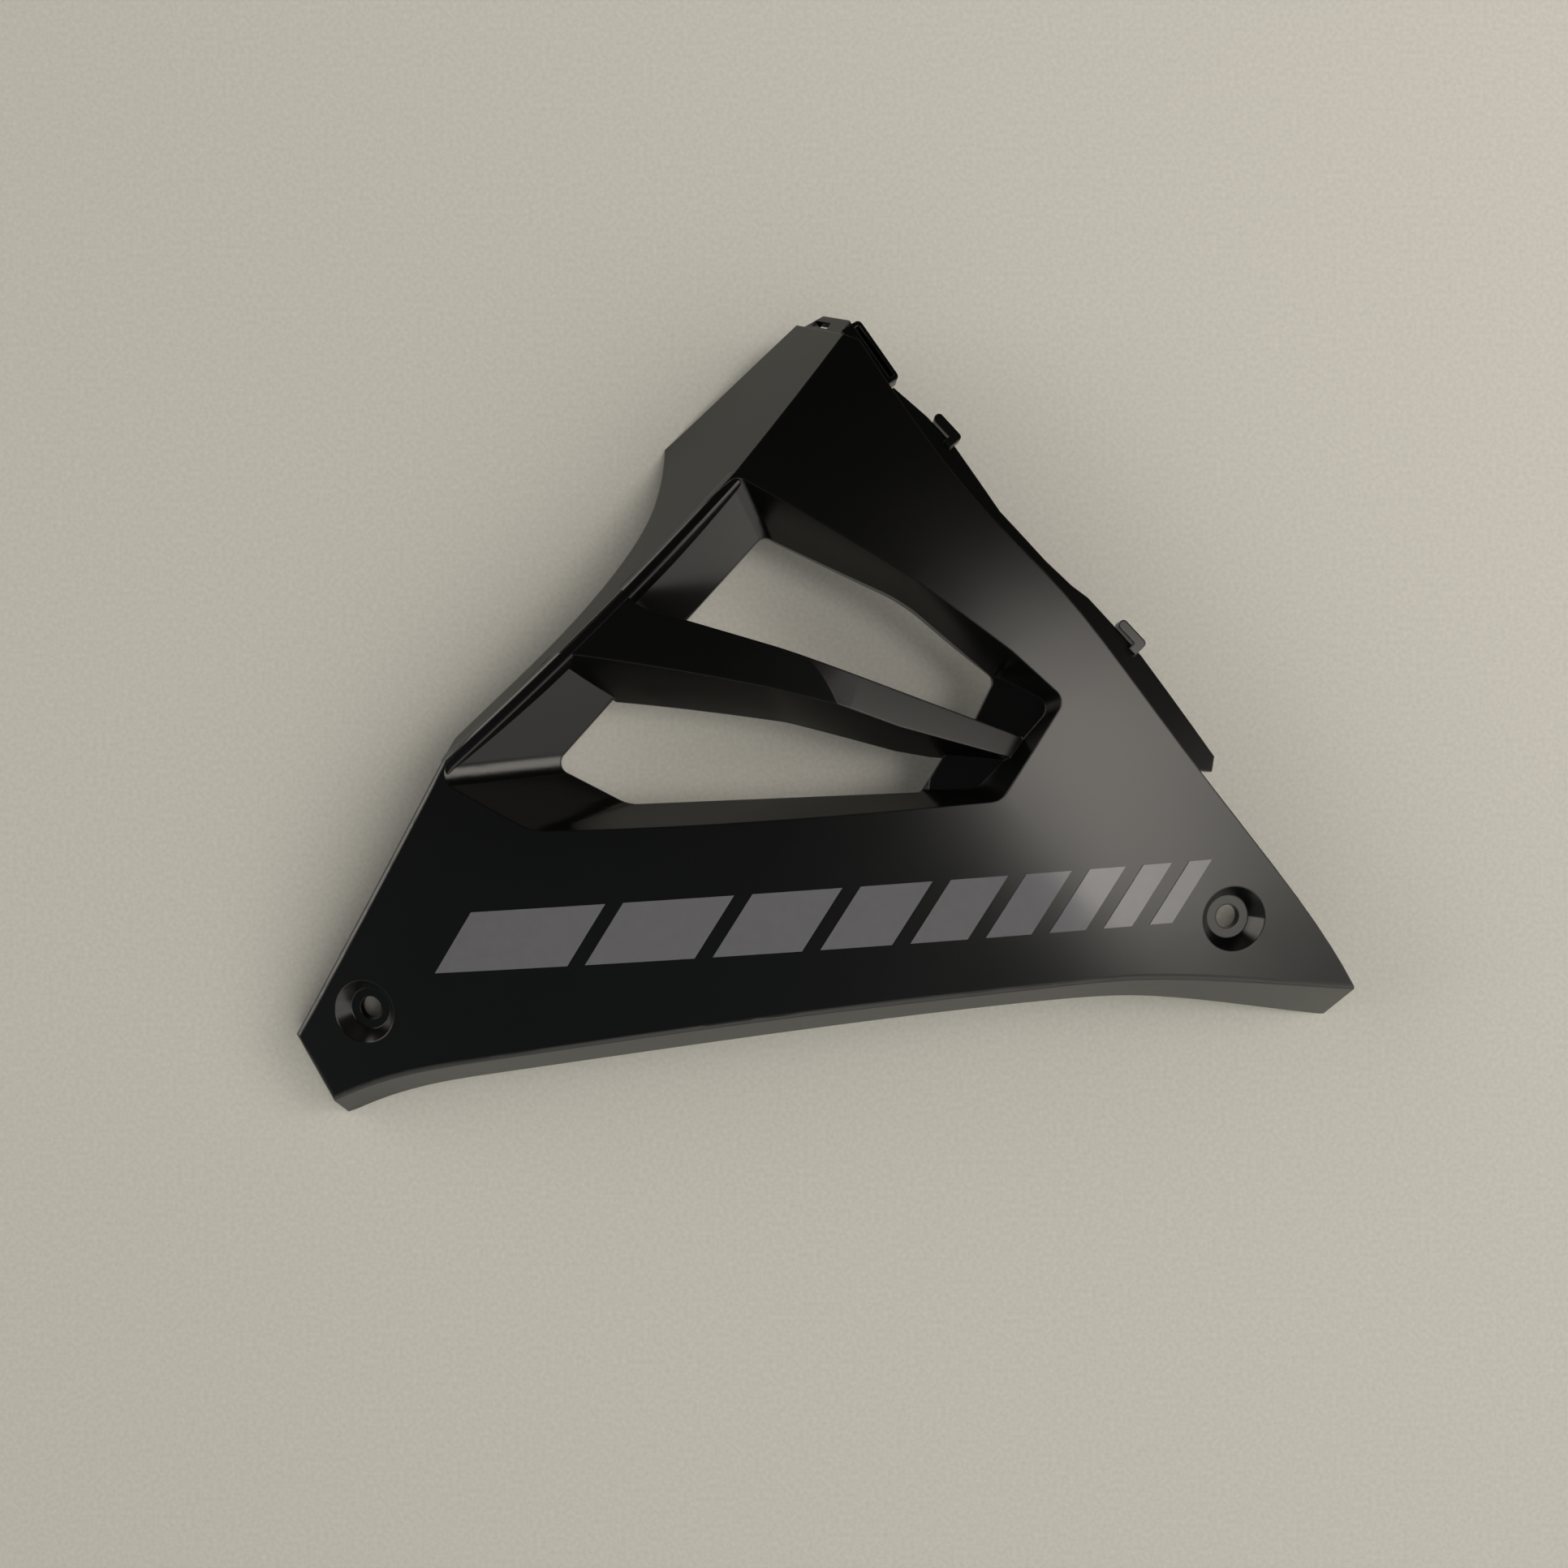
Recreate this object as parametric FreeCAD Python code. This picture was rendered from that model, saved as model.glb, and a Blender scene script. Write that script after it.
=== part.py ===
import FreeCAD, Part
import math
import os

# Lower fairing panel of a motorcycle: one thin moulded shell with a crowned face and turned-down edges,
# a vent recess crossed by a diving blade, two dished screw seats and a clip flange.
# Millimetres, +Z up. The panel lies face up on its lower edges.

Vec = FreeCAD.Vector

# Crowned face: part of a wide ball, highest at the crest
CROWN_RADIUS = 1000.0
CREST_X = 33.0
CREST_Y = 30.0
CREST_HEIGHT = 42.0
WALL = 2.5

# Rounding of the left and lower edges of the face
EDGE_ROUND = 2.5

# Draft of the turned-down edges, degrees from vertical
TOP_DRAFT = 15.0
RIDGE_DRAFT = 40.0
LEFT_DRAFT = 14.0
BOTTOM_DRAFT = 29.0
RIGHT_DRAFT = 0.0
TIP_DRAFT = -18.0

# Corners of the face in plan, counter-clockwise from the top
TOP_RIGHT = (25.0, 146.9)
TOP_LEFT = (19.6, 148.8)
RIDGE_CORNER = (-16.2, 102.2)
LEFT_UPPER = (-115.6, 5.7)
LEFT_LOWER = (-169.9, -87.3)
BOTTOM_LEFT = (-157.3, -110.1)
TIP = (194.2, -69.4)

# Curved stretches of the face edge between those corners
BOTTOM_BENDS = [(-129.8, -99.6), (-100.6, -93.5), (9.1, -75.9), (89.4, -66.7), (116.7, -64.6), (144.7, -65.3)]
RIGHT_BENDS = [(159.2, -22.1), (129.9, 13.5), (110.9, 38.3), (91.0, 63.0), (63.4, 92.0), (45.2, 115.7)]

# Lower lines of the turned-down edges: distance along the side, height above the floor.
# Each is carried inside the face edge by its reach.
RIDGE_UPPER_LINE = [(-30.0, 19.0), (1.7, 11.5), (61.1, 0.0), (70.0, -2.0)]
RIDGE_LOWER_LINE = [(6.5, 0.0), (13.5, 8.3), (30.6, 22.0), (47.4, 27.5), (82.0, 30.0), (138.5, 25.0)]
LEFT_LINE = [(-2.0, 25.0), (35.0, 9.0), (70.0, 0.0), (104.0, -2.0)]
BOTTOM_LINE = [(3.0, 0.0), (57.0, 11.0), (166.0, 22.5), (274.0, 20.0), (330.0, 6.0), (351.0, 0.0)]
RIDGE_UPPER_REACH = 12.0
RIDGE_LOWER_REACH = 0.5
LEFT_REACH = 3.0
BOTTOM_REACH = 40.0

# Vent recess: lip corner on the face, foot corner on the floor, corner radius.
# Its floor climbs from the ledge foot towards the ledge head.
RECESS_DEPTH = 18.0
LEDGE_FOOT = (52.0, 20.0)
LEDGE_HEAD = (90.0, 15.0)
LEDGE_CLIMB = 10.0
RECESS_CORNERS = [
    ((-15.4, 101.2), (-5.5, 83.4), 4.0),
    ((-116.4, 2.0), (-77.8, 6.2), 4.5),
    ((-83.8, -15.7), (-52.8, -5.9), 28.0),
    ((70.8, -5.6), (63.5, -1.0), 7.0),
    ((92.2, 27.8), (90.8, 27.2), 5.0),
    ((73.2, 44.0), (70.0, 34.3), 12.0),
    ((42.0, 66.9), (38.5, 60.2), 60.0),
]

# Blade across the recess: edge point, its depth below the face, foot point on the recess floor, corner radius
BLADE_CORNERS = [
    ((-90.0, 45.2), 0.0, (-90.0, 32.5), 0.0),
    ((-4.9, 31.5), 0.0, (0.0, 22.4), 60.0),
    ((38.0, 18.6), 4.5, (38.0, 12.4), 0.0),
    ((76.6, 8.2), 12.0, (74.8, 5.8), 0.0),
    ((98.0, 2.3), 12.0, (98.0, 0.0), 0.0),
    ((100.0, 8.7), 12.0, (100.0, 8.7), 0.0),
    ((0.0, 44.0), 0.0, (0.0, 44.0), 200.0),
    ((-48.5, 58.5), 0.0, (-48.5, 58.5), 16.0),
    ((-66.0, 78.0), 0.0, (-66.0, 78.0), 0.0),
]
BLADE_KINK = (9.0, 35.9)
BLADE_END = (77.7, 11.3)
BLADE_RISE = 0.4
BLADE_RUN_IN = 3.0
BLADE_DIVE = 10.5
BLADE_BEND = 120.0
BLADE_ROLL = 8.0

# Openings through the recess floor: corner and radius. Their inner sides run under the blade.
UPPER_OPENING = [
    ((-7.2, 84.6), 3.5),
    ((-45.0, 43.5), 0.0),
    ((59.2, 10.5), 0.0),
    ((71.2, 35.4), 3.5),
    ((39.8, 61.6), 60.0),
]
LOWER_OPENING = [
    ((-79.4, 6.2), 4.0),
    ((-53.3, -7.0), 14.0),
    ((46.6, -2.8), 2.5),
    ((60.0, 18.5), 0.0),
    ((-45.0, 44.3), 0.0),
]

# Dished screw seats
SEAT_CENTRES = [(149.8, -44.9), (-144.1, -78.1)]
SEAT_LIP_RADIUS = 11.0
SEAT_RADIUS = 7.3
SEAT_DEPTH = 4.7
SCREW_HOLE_RADIUS = 4.0

# Return along the right edge: depth, where it starts from the tip, and how far it runs on past the top corner
RETURN_DEPTH = 7.0
RETURN_START = 11.0
RETURN_OVERRUN = 3.7

# Clip flange beside the right edge, a step below the face and tilted outwards, and the points that close it
# inside the panel
FLANGE_STEP = 3.5
FLANGE_TILT = 10.0
FLANGE_THICKNESS = 2.0
UPPER_HOOK_EDGE = [(47.1, 121.5), (56.2, 111.3)]
LOWER_HOOK_EDGE = [(100.0, 61.2), (118.3, 42.1)]
FLANGE_TOP = [(36.0, 131.5)]
FLANGE_MIDDLE = [(70.6, 89.4), (85.9, 72.9), (94.5, 65.0)]
FLANGE_BOTTOM = [(143.6, 9.2), (142.5, 4.1)]
FLANGE_INNER = [(125.0, 5.0), (35.0, 115.0)]
ROOT = 1.5

# Hooks standing off the flange: the flange edge that carries one, and the distance of its stem along it
UPPER_HOOK_PLACE = 13.2
LOWER_HOOK_PLACE = 24.5
HOOK_LENGTH = 11.5
HOOK_WIDTH = 3.2
HOOK_GAP = 1.0
HOOK_RISE = 1.0
HOOK_HEIGHT = 4.5
HOOK_ROUND = 1.5

# Slotted tab at the top end, measured along and down the ridge side from the top left corner of the face
TAB_ROOT = -3.0
TAB_END = 6.0
TAB_HIGH = 3.0
TAB_LOW = 27.0
TAB_SLANT = 7.0
TAB_ROUND = 1.0
TAB_STEP = 0.8
TAB_THICKNESS = 3.0
SLOT_PLACE = 2.6
SLOT_DROP = 17.5
SLOT_LENGTH = 10.0
SLOT_WIDTH = 2.4

# Channel strip beside the top of the right edge, placed from the top right corner of the face
STRIP_START = (-3.5, 5.6)
STRIP_END = (9.9, -14.7)
STRIP_WIDTH = 4.2
STRIP_STEP = 2.0
STRIP_HEIGHT = 5.5
STRIP_ROUND = 1.8
GROOVE_OFFSET = 1.4
GROOVE_WIDTH = 1.5
GROOVE_DEPTH = 3.0

# Cut film graphic on the face: a row of slanted bars, each narrower than the last
FILM_THICKNESS = 0.2
FILM_START = (-118.0, -64.0)
FILM_RISE = 4.2
FILM_HEIGHT = 21.0
FILM_SLANT = 32.0
FILM_FIRST_WIDTH = 46.0
FILM_RATIO = 0.8
FILM_GAP = 6.0
FILM_BARS = 9

# Working room: above the crest, below the floor and beside the panel
CLEAR = 1.0
BELOW = 15.0
BESIDE = 60.0


def crown_ball(drop=0.0):
    """Everything below the face, lowered by drop along its normal."""
    centre = Vec(CREST_X, CREST_Y, CREST_HEIGHT - CROWN_RADIUS)
    ball = Part.makeSphere(CROWN_RADIUS - drop, centre, Vec(1, 0, 0))
    ball.rotate(centre, Vec(1, 0, 0), 180)
    return ball


def face_height(x, y):
    """Height of the face above a plan point."""
    across = (x - CREST_X) ** 2 + (y - CREST_Y) ** 2
    return CREST_HEIGHT - CROWN_RADIUS + math.sqrt(CROWN_RADIUS ** 2 - across)


def normal_to_side(start, end):
    """Outward plan normal of a side that runs counter-clockwise."""
    run = Vec(end[0] - start[0], end[1] - start[1], 0)
    run.normalize()
    return (run.y, -run.x)


def corner_shift(first, second, by_first, by_second):
    """Plan shift that moves a corner by the given amounts along its two side normals."""
    det = first[0] * second[1] - first[1] * second[0]
    if abs(det) < 1e-3:
        return (first[0] * by_first, first[1] * by_first)
    x = (by_first * second[1] - by_second * first[1]) / det
    y = (first[0] * by_second - second[0] * by_first) / det
    return (x, y)


def offset_corners(points, distance):
    """Corners of a counter-clockwise plan polygon with every side moved outwards."""
    moved = []
    for i, point in enumerate(points):
        before = normal_to_side(points[i - 1], point)
        after = normal_to_side(point, points[(i + 1) % len(points)])
        dx, dy = corner_shift(before, after, distance, distance)
        moved.append((point[0] + dx, point[1] + dy))
    return moved


def rounded_wire(points, radii, z):
    """Closed wire through plan corners at one height, each corner rounded by its radius."""
    corners = [Vec(x, y, z) for x, y in points]
    starts = []
    middles = []
    ends = []
    for i, corner in enumerate(corners):
        back = corners[i - 1] - corner
        ahead = corners[(i + 1) % len(corners)] - corner
        back.normalize()
        ahead.normalize()
        half = back.getAngle(ahead) / 2
        trim = radii[i] / math.tan(half)
        inward = back + ahead
        if inward.Length > 0:
            inward.normalize()
        starts.append(corner + back * trim)
        ends.append(corner + ahead * trim)
        middles.append(corner + inward * (radii[i] / math.sin(half) - radii[i]))
    edges = []
    for i in range(len(corners)):
        edges.append(Part.LineSegment(ends[i - 1], starts[i]).toShape())
        if radii[i] > 0:
            edges.append(Part.Arc(starts[i], middles[i], ends[i]).toShape())
    return Part.Wire(edges)


def level_points(tops, feet, foot_depth, z, top_depths=None):
    """Where the lines from edge points down to foot points cross a level."""
    crossed = []
    for i, (top, foot) in enumerate(zip(tops, feet)):
        top_z = face_height(*top) - (top_depths[i] if top_depths else 0.0)
        foot_z = face_height(*foot) - foot_depth
        share = (top_z - z) / (top_z - foot_z)
        crossed.append((top[0] + (foot[0] - top[0]) * share, top[1] + (foot[1] - top[1]) * share))
    return crossed


def curve_through(points):
    """A straight edge through two points, or a smooth one through more."""
    if len(points) == 2:
        return Part.LineSegment(points[0], points[1]).toShape()
    curve = Part.BSplineCurve()
    curve.interpolate(points)
    return curve.toShape()


def sides_of_face():
    """The face edge as sides: plan points, draft where the side starts and draft on the rest of it."""
    return [
        ([TOP_RIGHT, TOP_LEFT], TOP_DRAFT, TOP_DRAFT),
        ([TOP_LEFT, RIDGE_CORNER], RIDGE_DRAFT, RIDGE_DRAFT),
        ([RIDGE_CORNER, LEFT_UPPER], RIDGE_DRAFT, RIDGE_DRAFT),
        ([LEFT_UPPER, LEFT_LOWER], LEFT_DRAFT, LEFT_DRAFT),
        ([LEFT_LOWER, BOTTOM_LEFT], LEFT_DRAFT, LEFT_DRAFT),
        ([BOTTOM_LEFT] + BOTTOM_BENDS + [TIP], BOTTOM_DRAFT, BOTTOM_DRAFT),
        ([TIP] + RIGHT_BENDS + [TOP_RIGHT], TIP_DRAFT, RIGHT_DRAFT),
    ]


def outline_wire(z, inset):
    """The drafted outline at one height, moved inwards by inset."""
    sides = sides_of_face()
    first_normals = [normal_to_side(points[0], points[1]) for points, start, rest in sides]
    last_normals = [normal_to_side(points[-2], points[-1]) for points, start, rest in sides]
    first_slopes = [math.tan(math.radians(start)) for points, start, rest in sides]
    last_slopes = [math.tan(math.radians(rest)) for points, start, rest in sides]
    corners = []
    for i, (points, start, rest) in enumerate(sides):
        x, y = points[0]
        drop = face_height(x, y) - z
        dx, dy = corner_shift(last_normals[i - 1], first_normals[i],
                              drop * last_slopes[i - 1] - inset, drop * first_slopes[i] - inset)
        corners.append(Vec(x + dx, y + dy, z))
    edges = []
    for i, (points, start, rest) in enumerate(sides):
        run = [corners[i]]
        for k in range(1, len(points) - 1):
            x, y = points[k]
            nx, ny = normal_to_side(points[k - 1], points[k + 1])
            out = (face_height(x, y) - z) * last_slopes[i] - inset
            run.append(Vec(x + nx * out, y + ny * out, z))
        run.append(corners[(i + 1) % len(sides)])
        edges.append(curve_through(run))
    return Part.Wire(edges)


def drafted_body(inset, drop):
    """The outline run down with its drafts, under the face lowered by drop."""
    top = CREST_HEIGHT - drop + CLEAR / 10
    body = Part.makeLoft([outline_wire(top, inset), outline_wire(-BELOW - drop, inset)], True, True)
    return body.common(crown_ball(drop))


def recess_low(grow):
    """A level just below the lowest corner of the recess floor, grown by a wall."""
    lowest = min(face_height(*foot) for lip, foot, radius in RECESS_CORNERS)
    return lowest - RECESS_DEPTH - grow - CLEAR


def recess_body(grow):
    """The recess from above the face to its floor, grown by a wall."""
    tops = [lip for lip, foot, radius in RECESS_CORNERS]
    feet = [foot for lip, foot, radius in RECESS_CORNERS]
    radii = [radius for lip, foot, radius in RECESS_CORNERS]
    wires = []
    for z in (CREST_HEIGHT + CLEAR, recess_low(grow)):
        points = offset_corners(level_points(tops, feet, RECESS_DEPTH, z), grow)
        wires.append(rounded_wire(points, radii, z))
    return Part.makeLoft(wires, True, True).cut(crown_ball(RECESS_DEPTH + grow)).cut(ledge_slope(grow))


def ledge_slope(drop):
    """Everything under the climbing end of the recess floor, lowered by drop."""
    along = Vec(LEDGE_HEAD[0] - LEDGE_FOOT[0], LEDGE_HEAD[1] - LEDGE_FOOT[1], 0)
    along.normalize()
    across = Vec(-along.y, along.x, 0)
    up = Vec(0, 0, 1)
    foot = Vec(LEDGE_FOOT[0], LEDGE_FOOT[1], face_height(*LEDGE_FOOT) - RECESS_DEPTH - drop) - across * BESIDE
    head = foot + along * BESIDE + up * BESIDE * math.tan(math.radians(LEDGE_CLIMB))
    low = up * (CREST_HEIGHT + BELOW)
    corners = [foot, head, head - low, foot - low, foot]
    return Part.Face(Part.makePolygon(corners)).extrude(across * 2 * BESIDE)


def blade_body(shrink):
    """The blade from its diving top down past the recess floor, shrunk by a wall."""
    tops = [edge for edge, depth, foot, radius in BLADE_CORNERS]
    depths = [depth for edge, depth, foot, radius in BLADE_CORNERS]
    feet = [foot for edge, depth, foot, radius in BLADE_CORNERS]
    radii = [radius for edge, depth, foot, radius in BLADE_CORNERS]
    wires = []
    for z in (CREST_HEIGHT + CLEAR, recess_low(WALL) - CLEAR):
        points = offset_corners(level_points(tops, feet, RECESS_DEPTH, z, depths), -shrink)
        wires.append(rounded_wire(points, radii, z))
    return Part.makeLoft(wires, True, True).common(blade_profile(shrink))


def blade_profile(shrink):
    """Everything under the blade's top: level up to the kink, then bending down to its dive, rolled sideways."""
    along = Vec(BLADE_END[0] - BLADE_KINK[0], BLADE_END[1] - BLADE_KINK[1], 0)
    along.normalize()
    up = Vec(0, 0, 1)
    across = Vec(-along.y, along.x, -math.tan(math.radians(BLADE_ROLL)))
    reach = CROWN_RADIUS / 4
    kink = Vec(BLADE_KINK[0], BLADE_KINK[1], face_height(*BLADE_KINK) + BLADE_RISE - shrink) - across * reach

    def at(angle):
        """Point on the bend where the slope has reached an angle."""
        turned = math.radians(angle)
        lead = math.radians(BLADE_RUN_IN)
        run = BLADE_BEND * (math.sin(turned) - math.sin(lead))
        fall = BLADE_BEND * (math.cos(lead) - math.cos(turned))
        return kink + along * run - up * fall

    back = kink - along * reach + up * reach * math.tan(math.radians(BLADE_RUN_IN))
    bent = at(BLADE_DIVE)
    ahead = bent + along * reach - up * reach * math.tan(math.radians(BLADE_DIVE))
    low = up * (CREST_HEIGHT + 2 * BELOW)
    edges = [
        Part.LineSegment(back, kink).toShape(),
        Part.Arc(kink, at((BLADE_RUN_IN + BLADE_DIVE) / 2), bent).toShape(),
        Part.LineSegment(bent, ahead).toShape(),
        Part.LineSegment(ahead, ahead - low - up * reach).toShape(),
        Part.LineSegment(ahead - low - up * reach, back - low - up * reach).toShape(),
        Part.LineSegment(back - low - up * reach, back).toShape(),
    ]
    return Part.Face(Part.Wire(edges)).extrude(across * 2 * reach)


def plan_prism(corners, radii, low, high):
    """Upright prism over a rounded plan polygon."""
    face = Part.Face(rounded_wire(corners, radii, low))
    return face.extrude(Vec(0, 0, high - low))


def vent_opening(opening):
    """One vent opening through the recess floor."""
    corners = [corner for corner, radius in opening]
    radii = [radius for corner, radius in opening]
    return plan_prism(corners, radii, -BELOW, CREST_HEIGHT - RECESS_DEPTH / 2)


def face_normal(x, y):
    """Unit normal of the face above a plan point."""
    normal = Vec(x - CREST_X, y - CREST_Y, face_height(x, y) - CREST_HEIGHT + CROWN_RADIUS)
    normal.normalize()
    return normal


def seat_cone(centre, grow):
    """The dish of one screw seat, from its seat to just above the face, grown by a wall."""
    x, y = centre
    normal = face_normal(x, y)
    surface = Vec(x, y, face_height(x, y))
    slope = (SEAT_LIP_RADIUS - SEAT_RADIUS) / SEAT_DEPTH
    height = SEAT_DEPTH + grow + 2 * CLEAR
    low_radius = SEAT_RADIUS + grow
    base = surface - normal * (SEAT_DEPTH + grow)
    return Part.makeCone(low_radius, low_radius + slope * height, height, base, normal)


def screw_hole(centre):
    """The clearance hole through one seat."""
    x, y = centre
    normal = face_normal(x, y)
    surface = Vec(x, y, face_height(x, y))
    base = surface - normal * (SEAT_DEPTH + 2 * WALL)
    return Part.makeCylinder(SCREW_HOLE_RADIUS, SEAT_DEPTH + 2 * WALL, base, normal)


def skirt_cut(start, end, line, reach):
    """Everything under the lower line of one turned-down edge."""
    along = Vec(end[0] - start[0], end[1] - start[1], 0)
    along.normalize()
    out = Vec(along.y, -along.x, 0)
    origin = Vec(start[0], start[1], 0) - out * reach
    up = Vec(0, 0, 1)
    points = [origin + along * s + up * z for s, z in line]
    low = up * (CREST_HEIGHT + 2 * BELOW)
    edges = [
        curve_through(points),
        Part.LineSegment(points[-1], points[-1] - low).toShape(),
        Part.LineSegment(points[-1] - low, points[0] - low).toShape(),
        Part.LineSegment(points[0] - low, points[0]).toShape(),
    ]
    return Part.Face(Part.Wire(edges)).extrude(out * (reach + BESIDE))


def point_towards(start, end, distance):
    """The plan point at a distance from start towards end."""
    run = Vec(end[0] - start[0], end[1] - start[1], 0)
    run.normalize()
    return (start[0] + run.x * distance, start[1] + run.y * distance)


def return_cut():
    """Everything under the return of the right edge."""
    first = point_towards(TIP, RIGHT_BENDS[0], RETURN_START)
    last = point_towards(TOP_RIGHT, RIGHT_BENDS[-1], -RETURN_OVERRUN)
    stretch = [first] + RIGHT_BENDS + [last]
    sides = []
    for out in (-WALL - CLEAR, BELOW):
        run = []
        for k, (x, y) in enumerate(stretch):
            before = stretch[max(k - 1, 0)]
            after = stretch[min(k + 1, len(stretch) - 1)]
            nx, ny = normal_to_side(before, after)
            run.append(Vec(x + nx * out, y + ny * out, -BELOW))
        sides.append(run)
    inner, outer = sides
    edges = [
        curve_through(inner),
        Part.LineSegment(inner[-1], outer[-1]).toShape(),
        curve_through(outer),
        Part.LineSegment(outer[0], inner[0]).toShape(),
    ]
    wire = Part.Wire(Part.__sortEdges__(edges))
    band = Part.Face(wire).extrude(Vec(0, 0, 2 * BELOW + CREST_HEIGHT))
    return band.common(crown_ball(RETURN_DEPTH))


def crown_layer(solid, step, thickness):
    """The part of a solid that lies in a layer under the face."""
    return solid.common(crown_ball(step)).cut(crown_ball(step + thickness))


def flange():
    """The clip flange, rooted in the return of the right edge."""
    corners = FLANGE_TOP + UPPER_HOOK_EDGE + FLANGE_MIDDLE + LOWER_HOOK_EDGE + FLANGE_BOTTOM + FLANGE_INNER
    prism = plan_prism(corners[::-1], [0.0] * len(corners), -BELOW, CREST_HEIGHT + CLEAR)
    layer = crown_layer(prism, FLANGE_STEP, FLANGE_THICKNESS)
    start = FLANGE_BOTTOM[-1]
    end = UPPER_HOOK_EDGE[0]
    hinge = Vec(start[0], start[1], face_height(*start) - FLANGE_STEP)
    layer.rotate(hinge, Vec(end[0] - start[0], end[1] - start[1], 0), FLANGE_TILT)
    return layer.common(crown_ball(WALL)).cut(drafted_body(ROOT, 0.0))


def hook(edge, distance):
    """One hook: a stem out of a flange edge and a finger back along it."""
    start, end = edge
    along = Vec(end[0] - start[0], end[1] - start[1], 0)
    along.normalize()
    out = Vec(-along.y, along.x, 0)
    foot = Vec(start[0], start[1], 0) + along * distance
    tip = HOOK_GAP + HOOK_WIDTH
    outline = [
        (0.0, -ROOT, 0.0),
        (0.0, tip, HOOK_ROUND),
        (HOOK_LENGTH, tip, HOOK_ROUND),
        (HOOK_LENGTH, HOOK_GAP, HOOK_ROUND),
        (HOOK_WIDTH, HOOK_GAP, 0.0),
        (HOOK_WIDTH, -ROOT, 0.0),
    ]
    corners = []
    for back, away, radius in outline:
        spot = foot - along * back + out * away
        corners.append((spot.x, spot.y))
    radii = [radius for back, away, radius in outline]
    prism = plan_prism(corners, radii, -BELOW, CREST_HEIGHT + CLEAR)
    return crown_layer(prism, FLANGE_STEP - HOOK_RISE, HOOK_HEIGHT)


def slotted_tab():
    """The tab that carries the ridge side on past the top end, with its slot."""
    along = Vec(TOP_LEFT[0] - RIDGE_CORNER[0], TOP_LEFT[1] - RIDGE_CORNER[1], 0)
    along.normalize()
    out = Vec(-along.y, along.x, 0)
    draft = math.radians(RIDGE_DRAFT)
    down = out * math.sin(draft) - Vec(0, 0, math.cos(draft))
    corners = [
        (TAB_ROOT, TAB_HIGH),
        (TAB_END, TAB_HIGH),
        (TAB_END, TAB_LOW - TAB_SLANT),
        (0.0, TAB_LOW),
        (TAB_ROOT, TAB_LOW),
    ]
    tab = plan_prism(corners, [0.0, TAB_ROUND, TAB_ROUND, TAB_ROUND, 0.0], -TAB_THICKNESS, 0.0)
    half_length = SLOT_LENGTH / 2
    half_width = SLOT_WIDTH / 2
    slot_corners = [
        (SLOT_PLACE - half_width, SLOT_DROP - half_length),
        (SLOT_PLACE + half_width, SLOT_DROP - half_length),
        (SLOT_PLACE + half_width, SLOT_DROP + half_length),
        (SLOT_PLACE - half_width, SLOT_DROP + half_length),
    ]
    slot = plan_prism(slot_corners, [half_width / 2] * 4, -TAB_THICKNESS - CLEAR, CLEAR)
    tab = tab.cut(slot)
    turn = FreeCAD.Rotation(along, down, along.cross(down), "ZXY")
    place = Vec(TOP_LEFT[0], TOP_LEFT[1], face_height(*TOP_LEFT)) - along.cross(down) * TAB_STEP
    tab.Placement = FreeCAD.Placement(place, turn)
    return tab.cut(drafted_body(ROOT, 0.0))


def channel_strip():
    """The grooved strip beside the top of the right edge."""
    along = Vec(STRIP_END[0] - STRIP_START[0], STRIP_END[1] - STRIP_START[1], 0)
    length = along.Length
    along.normalize()
    out = Vec(-along.y, along.x, 0)
    start = Vec(TOP_RIGHT[0] + STRIP_START[0], TOP_RIGHT[1] + STRIP_START[1], 0)

    def bar(first, last, inner, outer, radius):
        """Upright bar beside the edge, rounded on its outer corners."""
        corners = []
        for s, o in ((first, inner), (last, inner), (last, outer), (first, outer)):
            spot = start + along * s + out * o
            corners.append((spot.x, spot.y))
        return plan_prism(corners, [0.0, 0.0, radius, radius], -BELOW, CREST_HEIGHT + CLEAR)

    strip = crown_layer(bar(0.0, length, -2 * ROOT, STRIP_WIDTH, STRIP_ROUND), STRIP_STEP, STRIP_HEIGHT)
    groove_outer = GROOVE_OFFSET + GROOVE_WIDTH
    groove = bar(STRIP_ROUND, length - STRIP_ROUND, GROOVE_OFFSET, groove_outer, GROOVE_WIDTH / 4)
    groove = groove.cut(crown_ball(STRIP_STEP + GROOVE_DEPTH))
    return strip.cut(groove).cut(drafted_body(ROOT, 0.0))


def edge_near(body, points):
    """The edge of a body that passes nearest to the middle of a side of the face."""
    start = points[(len(points) - 1) // 2]
    end = points[len(points) // 2]
    x = (start[0] + end[0]) / 2
    y = (start[1] + end[1]) / 2
    middle = Part.Vertex(Vec(x, y, face_height(x, y)))
    return min(body.Edges, key=lambda edge: edge.distToShape(middle)[0])


def rounded_body():
    """The outside before its recess and seats, with the left and lower edges of the face rounded."""
    body = drafted_body(0.0, 0.0).Solids[0]
    sides = [[LEFT_UPPER, LEFT_LOWER], [LEFT_LOWER, BOTTOM_LEFT], [BOTTOM_LEFT] + BOTTOM_BENDS + [TIP]]
    return body.makeFillet(EDGE_ROUND, [edge_near(body, side) for side in sides])


def outer_body():
    """The outside of the panel as a full body: face, turned-down edges, recess with its blade, and seats."""
    recess = recess_body(0.0).cut(blade_body(0.0))
    body = rounded_body().cut(recess)
    for centre in SEAT_CENTRES:
        body = body.cut(seat_cone(centre, 0.0))
    return body


def cavity_body():
    """The hollow under the panel, a wall inside its outside all over."""
    under_face = drafted_body(WALL, WALL)
    under_blade = blade_body(WALL).common(under_face)
    body = under_face.cut(recess_body(WALL)).fuse(under_blade)
    for centre in SEAT_CENTRES:
        body = body.cut(seat_cone(centre, WALL))
    return body


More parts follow.
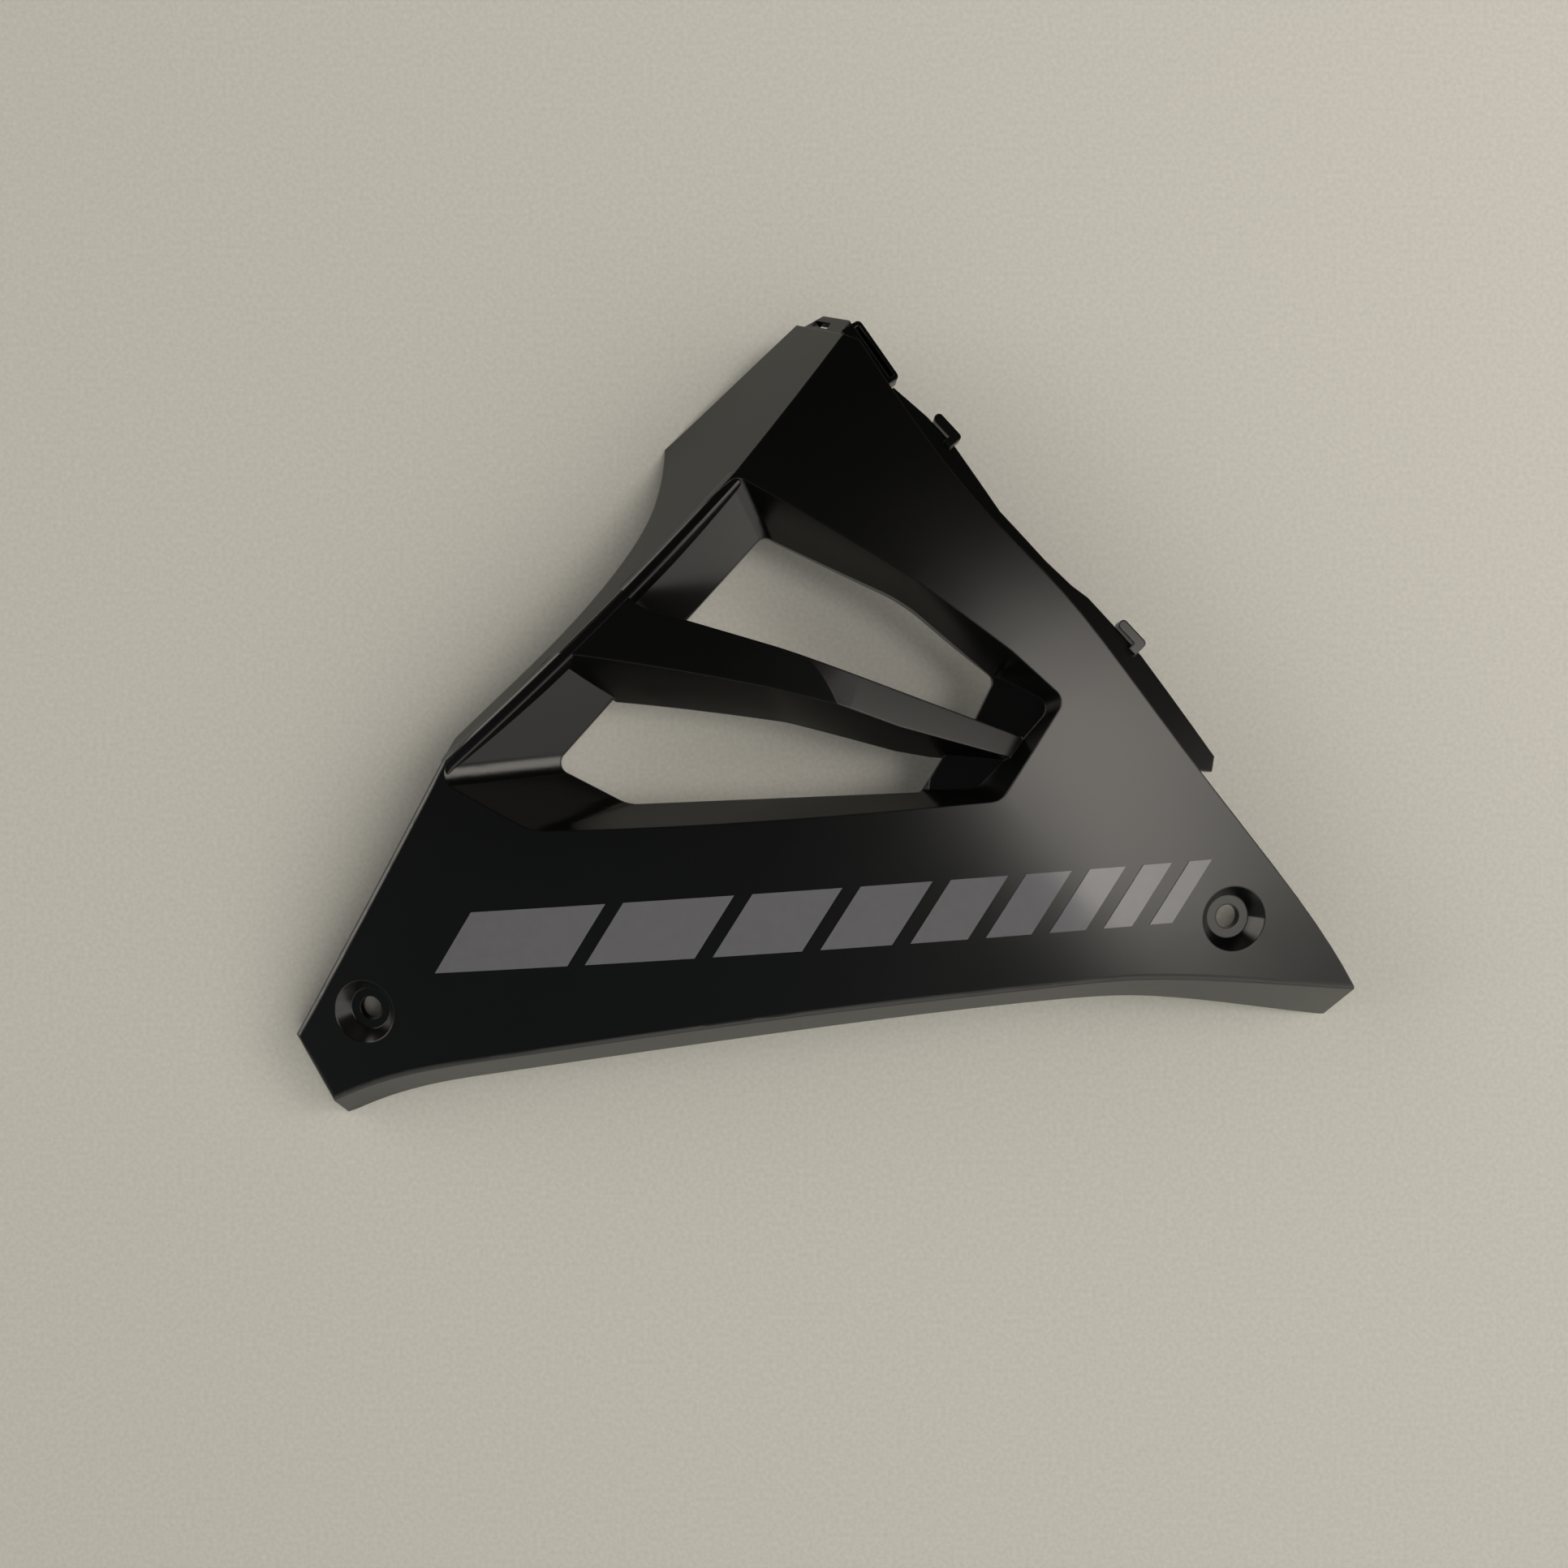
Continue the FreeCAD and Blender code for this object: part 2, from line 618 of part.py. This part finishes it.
def build_panel():
    """The whole panel: outside, cavity, openings, lower lines, and the fittings on its right edge."""
    blade = blade_body(0.0)
    panel = outer_body().cut(cavity_body())
    for opening in (UPPER_OPENING, LOWER_OPENING):
        panel = panel.cut(vent_opening(opening).cut(blade))
    for centre in SEAT_CENTRES:
        panel = panel.cut(screw_hole(centre))
    panel = panel.cut(skirt_cut(TOP_LEFT, RIDGE_CORNER, RIDGE_UPPER_LINE, RIDGE_UPPER_REACH))
    panel = panel.cut(skirt_cut(RIDGE_CORNER, LEFT_UPPER, RIDGE_LOWER_LINE, RIDGE_LOWER_REACH))
    panel = panel.cut(skirt_cut(LEFT_UPPER, LEFT_LOWER, LEFT_LINE, LEFT_REACH))
    panel = panel.cut(skirt_cut(BOTTOM_LEFT, TIP, BOTTOM_LINE, BOTTOM_REACH))
    floor = Part.makeBox(2 * CROWN_RADIUS, 2 * CROWN_RADIUS, CROWN_RADIUS,
                         Vec(-CROWN_RADIUS, -CROWN_RADIUS, -CROWN_RADIUS))
    panel = panel.cut(floor)
    panel = panel.cut(return_cut())
    hooks = [hook(UPPER_HOOK_EDGE, UPPER_HOOK_PLACE), hook(LOWER_HOOK_EDGE, LOWER_HOOK_PLACE)]
    for fitting in [flange(), slotted_tab(), channel_strip()] + hooks:
        panel = panel.fuse(fitting)
    return panel.Solids[0]


def build_film():
    """The film bars, each a slanted parallelogram of the film lying on the face."""
    rise = math.radians(FILM_RISE)
    along = Vec(math.cos(rise), math.sin(rise), 0)
    slant = math.radians(FILM_SLANT)
    up = Vec(math.sin(slant), math.cos(slant), 0) * (FILM_HEIGHT / math.cos(slant))
    corner = Vec(FILM_START[0], FILM_START[1], 0)
    width = FILM_FIRST_WIDTH
    bars = []
    for count in range(FILM_BARS):
        plan = [corner, corner + along * width, corner + along * width + up, corner + up]
        prism = plan_prism([(p.x, p.y) for p in plan], [0.0] * 4, 0.0, CREST_HEIGHT + CLEAR)
        bars.append(crown_layer(prism, -FILM_THICKNESS, FILM_THICKNESS).Solids[0])
        corner = corner + along * (width + FILM_GAP)
        width = width * FILM_RATIO
    return Part.makeCompound(bars)


panel = build_panel()
film = build_film()
box = panel.optimalBoundingBox()
to_origin = Vec(-box.Center.x, -box.Center.y, -box.ZMin)
os.makedirs("parts", exist_ok=True)
for name, shape in (("fairing_panel", panel), ("graphic_film", film)):
    shape.translate(to_origin)
    shape.exportStep("parts/" + name + ".step")
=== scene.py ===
import bpy
import bmesh
import math
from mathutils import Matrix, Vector


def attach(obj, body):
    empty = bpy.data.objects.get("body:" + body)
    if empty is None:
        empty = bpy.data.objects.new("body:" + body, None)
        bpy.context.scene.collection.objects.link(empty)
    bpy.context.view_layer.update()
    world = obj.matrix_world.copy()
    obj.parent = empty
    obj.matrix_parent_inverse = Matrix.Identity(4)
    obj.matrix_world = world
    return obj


# Lower fairing panel of a motorcycle, lying face up on a pale floor. Metres, in the part's own frame.

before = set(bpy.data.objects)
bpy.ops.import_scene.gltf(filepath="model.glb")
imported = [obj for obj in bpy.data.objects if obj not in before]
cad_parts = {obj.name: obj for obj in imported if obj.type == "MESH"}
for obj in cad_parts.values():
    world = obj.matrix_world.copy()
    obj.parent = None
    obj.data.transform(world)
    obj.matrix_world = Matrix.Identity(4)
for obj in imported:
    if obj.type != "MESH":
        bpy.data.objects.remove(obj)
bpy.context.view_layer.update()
MM = 0.001

# View from straight above, close to the panel
PHOTO_SIZE = 1932
FOCAL_PIXELS = 1450
SENSOR = 36.0
CAMERA_PLACE = (-10.215 * MM, -21.467 * MM, 424 * MM)
CAMERA_NEAR = 10 * MM

# Room light by direction. Each light is a product of fades. A fade follows a line, over the direction
# itself or over the sheet, a level plane one unit above the panel. It has a start, an end, and the light at
# the two.
ASIDE = (1.0, 0.0, 0.0)
AHEAD = (0.0, 1.0, 0.0)
UP = (0.0, 0.0, 1.0)
SHEET_LOWEST = 0.05

# Wide window high on the right: it dims away from the panel and towards the front, and ends at three edges
WINDOW = [
    ("sheet", ASIDE, 0.36, 1.0, 4.3, 0.86),
    ("sheet", AHEAD, -0.5, -0.2, 0.4, 1.0),
    ("sheet", (0.723, 0.691, -0.114), -0.015, 0.03, 0.0, 1.0),
    ("sheet", (0.0, -1.0, 0.235), -0.08, 0.16, 0.0, 1.0),
    ("sheet", (1.0, 0.0, -0.2), -0.05, 0.1, 0.0, 1.0),
]

# Low walls all round, darker on the left and beyond the panel, and a higher one in front on the right
WALLS = [
    ("direction", UP, 0.42, 0.66, 1.1, 0.0),
    ("direction", AHEAD, -0.15, 0.3, 1.0, 0.12),
    ("direction", ASIDE, -0.6, 0.0, 0.12, 1.0),
]
FRONT_WALL = [
    ("sheet", AHEAD, -0.65, -0.5, 0.72, 0.0),
    ("sheet", ASIDE, -0.1, 0.2, 0.0, 1.0),
]

# Bright low opening on the left, and a dim ceiling that is darker beyond the panel
LEFT_OPENING = [
    ("direction", UP, 0.4, 0.6, 3.0, 0.0),
    ("direction", ASIDE, -0.75, -0.45, 1.0, 0.0),
    ("direction", AHEAD, -0.3, 0.0, 0.0, 1.0),
]
CEILING = [
    ("sheet", AHEAD, -0.4, 0.3, 0.11, 0.0055),
]
WARM_WHITE = "#FFF8EF"
CEILING_TINT = "#EAFFFA"

# Soft lamp low on the right
LAMP_PLACE = (1.2, 0.4, 0.9)
LAMP_SIZE = 0.7
LAMP_POWER = 7.5

FLOOR_SIZE = 6.0

# Widths of the surface patterns and heights of their relief, in millimetres. The plastic's grain is drawn
# coarser than the real one, which is about 0.1 mm, so that it shows.
PLASTIC_DRIFT = 45
PLASTIC_GRAIN = 0.45
PLASTIC_RELIEF = 0.03
FILM_RIPPLE = 4
FILM_RELIEF = 0.03
BOARD_MOTTLE = 1.6

# Softening of the moulded edges
EDGE_RADIUS = 0.7 * MM

# Rolled rim along the open left side of the recess: each corner's inset from the side edge and depth below
# the face, in millimetres. The face is part of a large ball, and the rim bends a little more than it does, so
# that the rim's ends dip under the face. The wall's rise is its height for each unit inwards.
CROWN_RADIUS = 1000 * MM
CROWN_CENTRE = Vector((22.8, 8.5, -958)) * MM
RIM_TOP = Vector((-26.4, 80.7, 0)) * MM
RIM_FOOT = Vector((-125.8, -15.8, 0)) * MM
RIM_SECTION = [(-2.9, 4.0), (-1.75, 1.9), (-0.4, 0.1), (3.6, 0.1), (4.8, 7.6)]
RIM_TUCK = 0.9 * MM
RIM_WALL_RISE = 1.25
RIM_BEND = 920 * MM
RIM_STEPS = 40
RIM_ROUND = 1.1 * MM
RIM_ROUND_STEPS = 4


def linear(code):
    """An sRGB hex colour as linear red, green, blue and alpha."""
    channels = [int(code[i:i + 2], 16) / 255 for i in (1, 3, 5)]
    bent = [c / 12.92 if c <= 0.04045 else ((c + 0.055) / 1.055) ** 2.4 for c in channels]
    return (*bent, 1.0)


def per_size(size_mm):
    """Texture scale whose features are about this many millimetres wide."""
    return 1 / (size_mm * MM)


def add_node(tree, kind, inputs=None, **settings):
    """One node with its settings, and its inputs set to values or linked from sockets."""
    node = tree.nodes.new(kind)
    for name, value in settings.items():
        setattr(node, name, value)
    for name, value in (inputs or {}).items():
        if isinstance(value, bpy.types.NodeSocket):
            tree.links.new(value, node.inputs[name])
        else:
            node.inputs[name].default_value = value
    return node


def new_material(name):
    """An empty node material with its output node."""
    material = bpy.data.materials.new(name)
    material.use_nodes = True
    material.node_tree.nodes.clear()
    output = add_node(material.node_tree, "ShaderNodeOutputMaterial")
    return material, material.node_tree, output


def satin_black_abs():
    """Injection moulded ABS: near black, with a fine grain that spreads reflections into soft sheens."""
    material, tree, output = new_material("satin_black_moulded_abs")
    place = add_node(tree, "ShaderNodeTexCoord").outputs["Object"]
    drift = add_node(tree, "ShaderNodeTexNoise", {
        "Vector": place, "Scale": per_size(PLASTIC_DRIFT), "Detail": 2.0})
    grain = add_node(tree, "ShaderNodeTexNoise", {
        "Vector": place, "Scale": per_size(PLASTIC_GRAIN), "Detail": 3.0})
    rough = add_node(tree, "ShaderNodeMapRange", {
        "Value": drift.outputs["Fac"], "To Min": 0.19, "To Max": 0.23})
    edges = add_node(tree, "ShaderNodeBevel", {"Radius": EDGE_RADIUS}, samples=6)
    bump = add_node(tree, "ShaderNodeBump", {
        "Height": grain.outputs["Fac"], "Strength": 0.12, "Distance": PLASTIC_RELIEF * MM,
        "Normal": edges.outputs["Normal"]})
    shade = add_node(tree, "ShaderNodeMix", {
        "Factor": drift.outputs["Fac"], "A": linear("#080808"), "B": linear("#0B0B0B")}, data_type="RGBA")
    shader = add_node(tree, "ShaderNodeBsdfPrincipled", {
        "Base Color": shade.outputs["Result"], "Roughness": rough.outputs["Result"],
        "Normal": bump.outputs["Normal"], "IOR": 1.53})
    tree.links.new(shader.outputs["BSDF"], output.inputs["Surface"])
    return material


def grey_vinyl_film():
    """Cut vinyl film: calendered, so smooth and glossier than the panel, with a slight ripple."""
    material, tree, output = new_material("grey_gloss_vinyl_film")
    place = add_node(tree, "ShaderNodeTexCoord").outputs["Object"]
    ripple = add_node(tree, "ShaderNodeTexNoise", {
        "Vector": place, "Scale": per_size(FILM_RIPPLE), "Detail": 2.0})
    bump = add_node(tree, "ShaderNodeBump", {
        "Height": ripple.outputs["Fac"], "Strength": 0.1, "Distance": FILM_RELIEF * MM})
    shade = add_node(tree, "ShaderNodeMix", {
        "Factor": ripple.outputs["Fac"], "A": linear("#6A6A6F"), "B": linear("#727277")}, data_type="RGBA")
    shader = add_node(tree, "ShaderNodeBsdfPrincipled", {
        "Base Color": shade.outputs["Result"], "Roughness": 0.1,
        "Normal": bump.outputs["Normal"], "IOR": 1.5})
    tree.links.new(shader.outputs["BSDF"], output.inputs["Surface"])
    return material


def pale_floor():
    """Matt pale board with a faint mottle."""
    material, tree, output = new_material("pale_matt_board")
    place = add_node(tree, "ShaderNodeTexCoord").outputs["Object"]
    mottle = add_node(tree, "ShaderNodeTexNoise", {
        "Vector": place, "Scale": per_size(BOARD_MOTTLE), "Detail": 3.0})
    shade = add_node(tree, "ShaderNodeMix", {
        "Factor": mottle.outputs["Fac"], "A": linear("#C9C8C1"), "B": linear("#E5E4DD")}, data_type="RGBA")
    shader = add_node(tree, "ShaderNodeBsdfPrincipled", {
        "Base Color": shade.outputs["Result"], "Roughness": 0.85})
    tree.links.new(shader.outputs["BSDF"], output.inputs["Surface"])
    return material


def make_floor():
    """A plain floor under the panel."""
    mesh = bpy.data.meshes.new("floor")
    shape = bmesh.new()
    bmesh.ops.create_grid(shape, x_segments=1, y_segments=1, size=FLOOR_SIZE / 2)
    shape.to_mesh(mesh)
    shape.free()
    mesh.materials.append(pale_floor())
    floor = bpy.data.objects.new("floor", mesh)
    bpy.context.scene.collection.objects.link(floor)


def make_camera():
    """The camera straight above the panel, with +Y up in the picture."""
    data = bpy.data.cameras.new("camera")
    data.sensor_width = SENSOR
    data.lens = SENSOR * FOCAL_PIXELS / PHOTO_SIZE
    data.clip_start = CAMERA_NEAR
    camera = bpy.data.objects.new("camera", data)
    camera.location = CAMERA_PLACE
    bpy.context.scene.collection.objects.link(camera)
    bpy.context.scene.camera = camera


def make_lamp():
    """A wide soft lamp low on the right, turned to the panel. It lights the floor and has no reflection."""
    data = bpy.data.lights.new("lamp", "AREA")
    data.size = LAMP_SIZE
    data.energy = LAMP_POWER
    data.color = linear(WARM_WHITE)[:3]
    lamp = bpy.data.objects.new("lamp", data)
    lamp.location = LAMP_PLACE
    lamp.visible_glossy = False
    lamp.rotation_euler = (-Vector(LAMP_PLACE)).to_track_quat("-Z", "Y").to_euler()
    bpy.context.scene.collection.objects.link(lamp)


def room_light(tree, bases, fades):
    """The strength of one light of the room: its fades multiplied."""
    strength = 1.0
    for basis, line, start, end, first, last in fades:
        reach = add_node(tree, "ShaderNodeVectorMath", {0: bases[basis], 1: line}, operation="DOT_PRODUCT")
        fade = add_node(tree, "ShaderNodeMapRange", {
            "Value": reach.outputs["Value"], "From Min": start, "From Max": end,
            "To Min": first, "To Max": last}, interpolation_type="SMOOTHSTEP")
        product = add_node(tree, "ShaderNodeMath", {
            0: strength, 1: fade.outputs["Result"]}, operation="MULTIPLY")
        strength = product.outputs["Value"]
    return strength


def make_room():
    """Room light: window, walls and left opening in warm white, with a dim tinted ceiling."""
    world = bpy.data.worlds.new("room")
    bpy.context.scene.world = world
    world.use_nodes = True
    tree = world.node_tree
    tree.nodes.clear()
    direction = add_node(tree, "ShaderNodeTexCoord").outputs["Generated"]
    parts = add_node(tree, "ShaderNodeSeparateXYZ", {"Vector": direction})
    above = add_node(tree, "ShaderNodeMath", {0: parts.outputs["Z"], 1: SHEET_LOWEST}, operation="MAXIMUM")
    scale = add_node(tree, "ShaderNodeMath", {0: 1.0, 1: above.outputs["Value"]}, operation="DIVIDE")
    sheet = add_node(tree, "ShaderNodeVectorMath", {
        0: direction, "Scale": scale.outputs["Value"]}, operation="SCALE")
    bases = {"direction": direction, "sheet": sheet.outputs["Vector"]}

    walls = add_node(tree, "ShaderNodeMath", {
        0: room_light(tree, bases, WALLS), 1: room_light(tree, bases, FRONT_WALL)}, operation="MAXIMUM")
    total = walls.outputs["Value"]
    for fades in (WINDOW, LEFT_OPENING):
        total = add_node(tree, "ShaderNodeMath", {
            0: total, 1: room_light(tree, bases, fades)}, operation="ADD").outputs["Value"]
    warm = add_node(tree, "ShaderNodeBackground", {"Color": linear(WARM_WHITE), "Strength": total})
    ceiling = add_node(tree, "ShaderNodeBackground", {
        "Color": linear(CEILING_TINT), "Strength": room_light(tree, bases, CEILING)})
    both = add_node(tree, "ShaderNodeAddShader", {
        0: warm.outputs["Background"], 1: ceiling.outputs["Background"]})
    output = add_node(tree, "ShaderNodeOutputWorld")
    tree.links.new(both.outputs["Shader"], output.inputs["Surface"])


def crown_point(place, depth=0.0):
    """The point of the crowned face over a place on the floor, or some depth below it."""
    away = place.xy - CROWN_CENTRE.xy
    height = CROWN_CENTRE.z + math.sqrt(CROWN_RADIUS ** 2 - away.length_squared)
    return Vector((place.x, place.y, height - depth))


def make_rim(material):
    """The rolled rim: its section at the top end, swung along crown and side wall to the foot and rounded."""
    top = crown_point(RIM_TOP)
    foot = crown_point(RIM_FOOT)
    middle = crown_point((RIM_TOP + RIM_FOOT) / 2)
    along = (RIM_FOOT - RIM_TOP).normalized()
    inward = along.cross(Vector((0, 0, -1)))
    up_wall = inward + Vector((0, 0, RIM_WALL_RISE))
    axis = up_wall.cross(foot - top).normalized()
    centre = middle + (CROWN_CENTRE - middle).normalized() * RIM_BEND
    turn = (top - centre).cross(axis).angle((foot - centre).cross(axis))

    shape = bmesh.new()
    corners = []
    for inset, depth in RIM_SECTION:
        corners.append(shape.verts.new(crown_point(RIM_TOP + inward * inset * MM, depth * MM)))
    section = shape.faces.new(corners)
    swung = bmesh.ops.spin(shape, geom=[section], cent=centre, axis=axis, angle=turn, steps=RIM_STEPS)
    last = [item for item in swung["geom_last"] if isinstance(item, bmesh.types.BMVert)]
    bmesh.ops.translate(shape, verts=last, vec=inward * RIM_TUCK)
    bmesh.ops.recalc_face_normals(shape, faces=shape.faces[:])
    mesh = bpy.data.meshes.new("recess_rim")
    shape.to_mesh(mesh)
    shape.free()
    mesh.shade_smooth()
    mesh.materials.append(material)
    rim = bpy.data.objects.new("recess_rim", mesh)
    bpy.context.scene.collection.objects.link(rim)
    rounding = rim.modifiers.new("rounding", "BEVEL")
    rounding.width = RIM_ROUND
    rounding.segments = RIM_ROUND_STEPS
    rounding.harden_normals = True
    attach(rim, "root")


def dress(node, material):
    """One CAD node shown with a finish."""
    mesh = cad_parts[node].data
    mesh.materials.clear()
    mesh.materials.append(material)


bpy.context.scene.view_settings.view_transform = "Standard"
make_camera()
make_room()
make_lamp()
make_floor()
plastic = satin_black_abs()
dress("fairing_panel", plastic)
make_rim(plastic)
dress("graphic_film", grey_vinyl_film())
